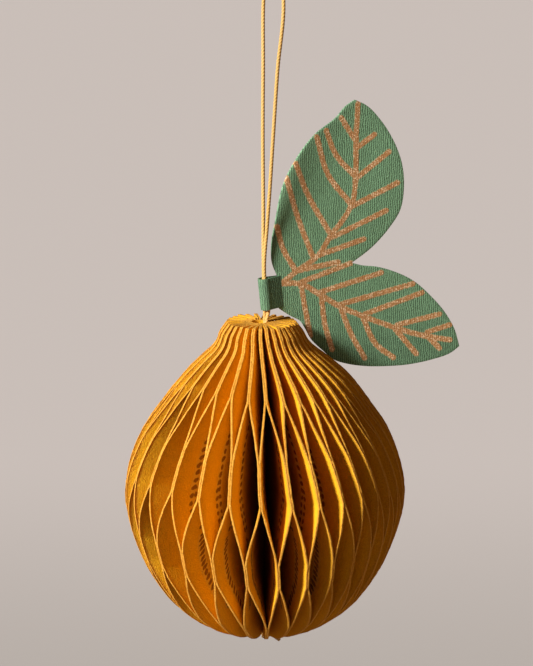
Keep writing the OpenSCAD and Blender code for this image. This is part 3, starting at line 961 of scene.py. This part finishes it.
def leaf_outline():
    """The sheet's outline, from the fold's low end anticlockwise"""
    under = smooth_line(LOWER_LEAF_UNDER, 5)[::-1]
    top = smooth_line(LOWER_LEAF_TOP, 5)[::-1]
    right = smooth_line(UPPER_LEAF_RIGHT, 5)[::-1]
    left = smooth_line(UPPER_LEAF_LEFT, 5)[::-1]
    outline = under[:-1] + top[:-1] + right[:-1] + left
    return [tuple(point) for point in outline] + [(FOLD_CUT[1], EYE_TOP), (FOLD_CUT[0], EYE_LOW)]


def inside(outline, grid):
    """Which points of a grid lie inside the outline"""
    found = np.zeros(len(grid), bool)
    for (ax, ay), (bx, by) in zip(outline, outline[1:] + outline[:1]):
        crosses = (ay > grid[:, 1]) != (by > grid[:, 1])
        if ay != by:
            x = ax + (grid[:, 1] - ay) * (bx - ax) / (by - ay)
            found ^= crosses & (grid[:, 0] < x)
    return found


def nearest(points, lines):
    """Distance from each point to the nearest of some broken lines"""
    best = np.full(len(points), 1e9)
    for line in lines:
        for a, b in zip(line, line[1:]):
            a, b = np.array(a, float), np.array(b, float)
            span = b - a
            share = np.clip(((points - a) @ span) / (span @ span), 0, 1)
            best = np.minimum(best, np.linalg.norm(points - a - share[:, None] * span, axis=1))
    return best


def evened_outline(outline, spacing):
    """The outline again with points at most one spacing apart"""
    points = []
    for a, b in zip(outline, outline[1:] + outline[:1]):
        a, b = np.array(a), np.array(b)
        count = max(1, int(math.ceil(np.linalg.norm(b - a) / spacing)))
        points += [tuple(a + (b - a) * k / count) for k in range(count)]
    return points


def warp(point):
    """How far the sheet bends out of its plane, in millimetres"""
    s, z = point
    reach = max(0.0, (s - 6.0) / 45.0)
    return (0.35 * reach * math.sin(0.11 * z + 0.6)
            + 0.05 * min(1.0, reach * 4) * noise.noise(Vector((s / 5, z / 5, 1.0))))


class TwinLeaf:
    """Works out the sheet and the fold of the leaf in its own plane"""

    def __init__(self, settings):
        self.half = settings.thickness / MM / 2
        self.grid = settings.grid / MM
        self.turn = settings.turn
        self.points, self.faces = [], []
        self.across, self.up = [], []

    def add(self, s, n, z, across=None):
        """Adds a point from its place along, out of and up the plane"""
        self.points.append((AXIS_X + s * math.cos(self.turn) - n * math.sin(self.turn),
                            s * math.sin(self.turn) + n * math.cos(self.turn), BODY_TOP + z))
        self.across.append(s if across is None else across)
        self.up.append(z)
        return len(self.points) - 1

    def sheet(self):
        """The flat twin sheet: two layers of points joined around the cut edge"""
        rim = evened_outline(leaf_outline(), self.grid)
        low, high = np.min(rim, axis=0), np.max(rim, axis=0)
        rise = self.grid * math.sqrt(3) / 2
        grid = np.array([(x + (row % 2) * self.grid / 2, z)
                         for row, z in enumerate(np.arange(low[1], high[1], rise))
                         for x in np.arange(low[0], high[0], self.grid)])
        grid = grid[inside(rim, grid)]
        grid = grid[nearest(grid, [rim + rim[:1]]) > 0.55 * self.grid]
        plane = [Vector(point) for point in rim] + [Vector(point) for point in grid.tolist()]
        ring = list(range(len(rim)))
        edges = list(zip(ring, ring[1:] + ring[:1]))
        flat, _, faces, _, _, _ = delaunay_2d_cdt(plane, edges, [], 1, 1e-6)
        layers = []
        for side in (-1, 1):
            layer = []
            for i, (s, z) in enumerate(flat):
                soft = 0.07 if i < len(rim) else 0.0
                layer.append(self.add(s, warp((s, z)) + side * (self.half - soft), z))
            layers.append(layer)
        front, back = layers
        for face in faces:
            self.faces.append(tuple(front[k] for k in face))
            self.faces.append(tuple(back[k] for k in reversed(face)))
        seam = [[], [], []]
        for i, (s, z) in enumerate(rim):
            before, after = np.array(rim[i - 1]), np.array(rim[(i + 1) % len(rim)])
            way = (after - before) / np.linalg.norm(after - before)
            for row, (n, out) in enumerate(((-0.5, 0.06), (0.0, 0.0), (0.5, 0.06))):
                seam[row].append(self.add(
                    s + out * way[1], warp((s, z)) + n * self.half, z - out * way[0]))
        bands = [front, *seam, back]
        for first, second in zip(bands, bands[1:]):
            for a, b in edges:
                self.faces.append((first[b], first[a], second[a], second[b]))

    def fold(self):
        """The sleeve of card around the cord, closing onto the sheet"""
        outer, inner = EYE_RADIUS + EYE_WALL, EYE_RADIUS
        steps = 28
        open_angle = math.asin((outer - self.half) / FOLD_REACH) + 0.25
        profile = []
        flank_steps = 9
        for k in range(flank_steps):
            u = k / flank_steps
            profile.append((FOLD_REACH * (1 - u) + outer * math.sin(open_angle) * u,
                            self.half * (1 - u) + outer * math.cos(open_angle) * u))
        arc = [math.pi / 2 - open_angle + (math.pi + 2 * open_angle) * k / steps
               for k in range(steps + 1)]
        outside = profile + [(outer * math.cos(a), outer * math.sin(a)) for a in arc]
        outside += [(s, -n) for s, n in reversed(profile)]
        lengths = np.cumsum(np.linalg.norm(np.diff(outside, axis=0), axis=1))
        lengths = np.concatenate([[0], lengths])
        hollow = []
        for s, n in outside:
            angle = math.atan2(n, s)
            hollow.append((inner * math.cos(angle), inner * math.sin(angle)))
        middle = (EYE_TOP + EYE_LOW) / 2
        levels = np.linspace(EYE_LOW - middle, EYE_TOP - middle, 20)
        rings = []
        for t in levels:
            end = abs(t) > (EYE_TOP - EYE_LOW) / 2 - 0.01
            rows = []
            for loop, slim in ((outside, -0.05), (hollow, 0.05)):
                row = []
                for (s, n), long in zip(loop, lengths):
                    if end:
                        reach = math.hypot(s, n)
                        s, n = s * (1 + slim / reach), n * (1 + slim / reach)
                    tilted = EYE_SHIFT + s * math.cos(EYE_TILT) - t * math.sin(EYE_TILT)
                    height = middle + t * math.cos(EYE_TILT) + s * math.sin(EYE_TILT)
                    row.append(self.add(tilted, n, height, FOLD_REACH - long))
                rows.append(row)
            rings.append(rows)
        count = len(outside)
        for low, high in zip(rings, rings[1:]):
            for k in range(count - 1):
                self.faces.append((low[0][k], high[0][k], high[0][k + 1], low[0][k + 1]))
                self.faces.append((low[1][k + 1], high[1][k + 1], high[1][k], low[1][k]))
            for k in (0, count - 1):
                pair = (low[0][k], low[1][k], high[1][k], high[0][k])
                self.faces.append(pair if k == 0 else tuple(reversed(pair)))
        for ring, turned in ((rings[0], False), (rings[-1], True)):
            for k in range(count - 1):
                face = (ring[0][k], ring[0][k + 1], ring[1][k + 1], ring[1][k])
                self.faces.append(tuple(reversed(face)) if turned else face)


def leaf_mesh(settings):
    """The whole leaf as a mesh, with the distance to its drawn veins"""
    leaf = TwinLeaf(settings)
    leaf.sheet()
    sheet_points = len(leaf.points)
    leaf.fold()
    mesh = bpy.data.meshes.new("twin_leaf")
    mesh.from_pydata(to_metres(leaf.points), [], leaf.faces)
    flat = np.stack([leaf.across, leaf.up], axis=1)
    veins = nearest(flat, [smooth_line(line, 5) if len(line) > 2 else line
                           for line in UPPER_VEINS + LOWER_VEINS])
    veins[sheet_points:] = NO_VEIN
    point_values(mesh, "across", leaf.across)
    point_values(mesh, "up", leaf.up)
    point_values(mesh, "vein", veins)
    smooth_mesh(mesh, math.radians(45))
    return mesh


class ORNAMENT_OT_leaf(bpy.types.Operator):
    """Builds the twin leaf of ribbed card, folded around the cord"""
    bl_idname = "ornament.leaf"
    bl_label = "Twin leaf"

    def execute(self, context):
        settings = context.scene.ornament_leaf
        new_piece("twin_leaf", leaf_mesh(settings), ["leaf"],
                  card_material(settings))
        return {"FINISHED"}


# the colours that the floor shows, near the camera and farther off
NEAR_TONE = (0.455, 0.415, 0.375)
FAR_TONE = (0.578, 0.521, 0.479)
FLOOR_LIGHT = (0.85, 0.842, 0.82)  # how bright a white floor looks under the stage's light
FLOOR_BOUNCE = (0.3, 0.22, 0.16)  # share of that light that the floor throws back on the ornament
FLOOR_RADIUS = 9.0
CAMERA_AIM = (-1.7, 0.0, -91.0)
SENSOR_WIDTH = 36.0
KEY_TURN = (65, 0, -54)  # from low on the left of the front, in degrees
FRONT_TURN = (45, 0, 15)
KEY_SIZE = 12  # how wide the lamps look from the ornament, in degrees
FRONT_SIZE = 60
KEY_TINT = (1.0, 1.0, 1.0)
FRONT_TINT = (1.0, 0.6, 0.32)  # warm, as thrown back by skin
FILL_TINT = (1.2, 0.88, 0.68)  # the light from all around is a little warm


def seen_directly(tree):
    """One for the rays that show the backdrop itself, nothing for those that light the ornament"""
    path = tree.add("ShaderNodeLightPath").outputs
    seen = tree.math("ADD", path["Is Camera Ray"], path["Is Glossy Ray"])
    return tree.math("MINIMUM", tree.math("ADD", seen, path["Is Transmission Ray"]), 1.0)


def floor_material():
    """A pale matt floor that darkens a little near the camera and takes the soft shadow"""
    material, tree, shader = new_material("pale_floor")
    place = tree.add("ShaderNodeTexCoord").outputs["Object"]
    away = tree.add("ShaderNodeSeparateXYZ", {"Vector": place}).outputs["Y"]
    near, far = (tuple(c / light for c, light in zip(tone, FLOOR_LIGHT))
                 for tone in (NEAR_TONE, FAR_TONE))
    shade = tree.mix(tree.step(away, 0.2, 0.64), near, far)
    tree.put(shader.inputs["Base Color"], tree.mix(seen_directly(tree), FLOOR_BOUNCE, shade))
    shader.inputs["Roughness"].default_value = 0.95
    shader.inputs["Specular IOR Level"].default_value = 0.0
    return material


class ORNAMENT_OT_stage(bpy.types.Operator):
    """Builds the camera, the floor and the soft light"""
    bl_idname = "ornament.stage"
    bl_label = "Stage"

    def execute(self, context):
        settings = context.scene.ornament_stage
        self.camera(context, settings)
        self.floor(context, settings)
        self.light(context, settings)
        context.scene.view_settings.view_transform = "Standard"
        return {"FINISHED"}

    def camera(self, context, settings):
        """The camera, level with the body and looking a little down"""
        aim = Vector(CAMERA_AIM) * MM
        away = Vector((0, -math.cos(settings.camera_tilt), math.sin(settings.camera_tilt)))
        data = bpy.data.cameras.new("camera")
        data.lens = settings.camera_lens
        data.sensor_width = SENSOR_WIDTH
        data.clip_start = 0.01
        camera = bpy.data.objects.new("camera", data)
        camera.location = aim + away * settings.camera_distance
        camera.rotation_euler = (math.pi / 2 - settings.camera_tilt, 0, 0)
        context.scene.collection.objects.link(camera)
        context.scene.camera = camera

    def floor(self, context, settings):
        """The floor under the ornament"""
        mesh = bpy.data.meshes.new("floor")
        shape = bmesh.new()
        bmesh.ops.create_circle(shape, cap_ends=True, segments=96, radius=FLOOR_RADIUS)
        shape.to_mesh(mesh)
        shape.free()
        mesh.materials.append(floor_material())
        floor = bpy.data.objects.new("floor", mesh)
        floor.location = (0, 0, -settings.floor_drop)
        context.scene.collection.objects.link(floor)

    def light(self, context, settings):
        """Two lamps, and the light from all around"""
        for name, strength, tint, size, turn in (
                ("soft_key", settings.key_strength, KEY_TINT, KEY_SIZE, KEY_TURN),
                ("soft_front", settings.front_strength, FRONT_TINT, FRONT_SIZE, FRONT_TURN)):
            data = bpy.data.lights.new(name, "SUN")
            data.energy = strength
            data.color = tint
            data.angle = math.radians(size)
            lamp = bpy.data.objects.new(name, data)
            lamp.rotation_euler = [math.radians(angle) for angle in turn]
            context.scene.collection.objects.link(lamp)
        world = bpy.data.worlds.new("soft_room")
        world.use_nodes = True
        tree = Tree(world.node_tree)
        background = world.node_tree.nodes["Background"]
        fill = tuple(settings.fill_strength * tint for tint in FILL_TINT)
        tree.put(background.inputs["Color"], tree.mix(seen_directly(tree), fill, FAR_TONE))
        background.inputs["Strength"].default_value = 1.0
        context.scene.world = world


class ORNAMENT_PT_sidebar(bpy.types.Panel):
    """Lists the ornament's pieces and their settings"""
    bl_idname = "ORNAMENT_PT_sidebar"
    bl_label = "Honeycomb paper ornament"
    bl_space_type = "VIEW_3D"
    bl_region_type = "UI"
    bl_category = "Ornament"

    def draw(self, context):
        for operator, group in STEPS:
            settings = getattr(context.scene, group)
            box = self.layout.box()
            for name in settings.__annotations__:
                box.prop(settings, name)
            box.operator(operator)


STEPS = (
    ("ornament.stage", "ornament_stage"),
    ("ornament.cord", "ornament_cord"),
    ("ornament.body", "ornament_body"),
    ("ornament.leaf", "ornament_leaf"),
)
GROUPS = (
    ("ornament_body", BodySettings), ("ornament_leaf", LeafSettings),
    ("ornament_cord", CordSettings), ("ornament_stage", StageSettings))
CLASSES = (
    BodySettings, LeafSettings, CordSettings, StageSettings, ORNAMENT_OT_body, ORNAMENT_OT_leaf,
    ORNAMENT_OT_cord, ORNAMENT_OT_stage, ORNAMENT_PT_sidebar)


def register():
    """Registers the classes and the settings"""
    for kind in CLASSES:
        bpy.utils.register_class(kind)
    for name, kind in GROUPS:
        setattr(bpy.types.Scene, name, PointerProperty(type=kind))


def unregister():
    """Takes them out again"""
    for name, _ in GROUPS:
        delattr(bpy.types.Scene, name)
    for kind in reversed(CLASSES):
        bpy.utils.unregister_class(kind)


def main():
    """Builds everything in order"""
    register()
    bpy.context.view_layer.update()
    bpy.ops.ornament.stage()
    bpy.ops.ornament.cord()
    bpy.ops.ornament.body()
    bpy.ops.ornament.leaf()


if __name__ == "__main__":
    main()
